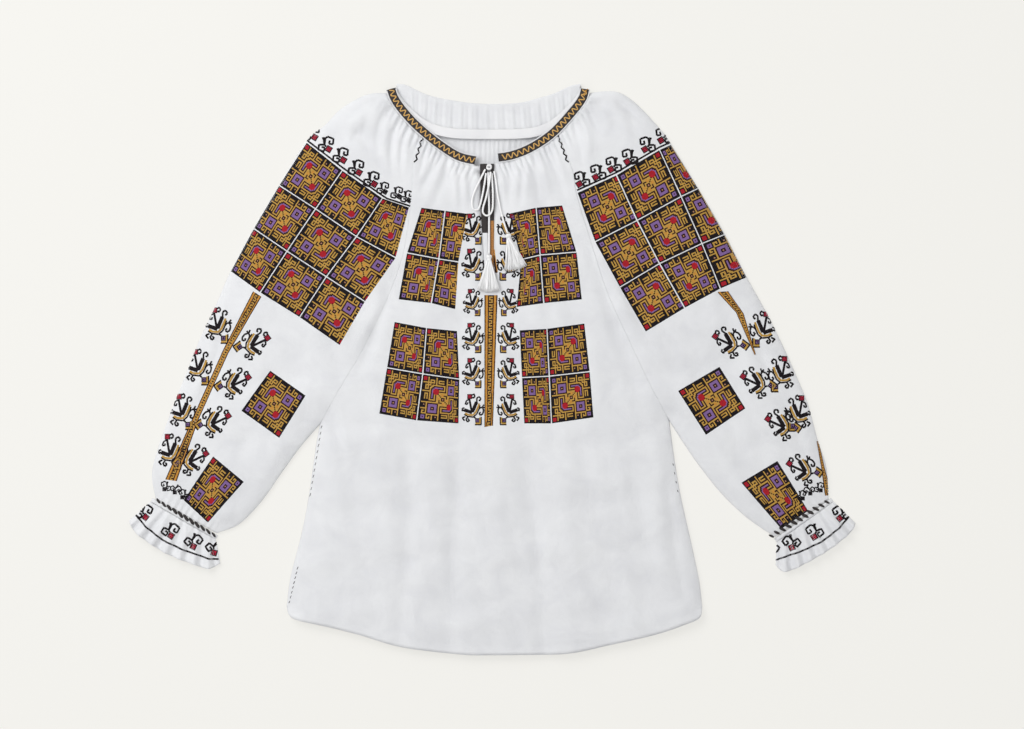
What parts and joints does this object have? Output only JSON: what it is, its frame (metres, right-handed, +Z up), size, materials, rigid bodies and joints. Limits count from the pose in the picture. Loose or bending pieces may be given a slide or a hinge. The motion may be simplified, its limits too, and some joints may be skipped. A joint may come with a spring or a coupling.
{
  "type": "embroidered blouse",
  "caption": "European folk dress blouse lying flat: raglan sleeves gathered into a narrow stitched neckband, tied front slit with tassels, block embroidery, frilled cuffs.",
  "frame": {"origin": "on the floor below the centre of the blouse's outline seen from above", "axes": "+Z up from the floor through the front of the blouse; +Y from hem to neck; +X across, from the sleeve at the viewer's left to the one at the right"},
  "size_m": [0.944, 0.7419, 0.0223],
  "materials": {
    "linen": "matt white linen, plain weave",
    "black_embroidery": "black cross stitch with gold, slightly lustrous cotton",
    "gathering_stitch": "twisted black and white gathering threads",
    "cord_thread": "soft white twisted cotton"
  },
  "bodies": {
    "root": {"front_panel": "linen", "back_panel": "linen", "sleeve_left": "linen", "sleeve_right": "linen", "neckband": "black_embroidery", "slit_binding_left": "black_embroidery", "slit_binding_right": "black_embroidery", "wrist_gather_left": "gathering_stitch", "wrist_gather_right": "gathering_stitch", "frill_left": "linen", "frill_right": "linen", "cord_knot": "cord_thread", "loop_left": "cord_thread", "loop_right": "cord_thread", "tail_left": "cord_thread", "tail_right": "cord_thread", "tassel_left": "cord_thread", "tassel_right": "cord_thread"}
  },
  "joints": []
}
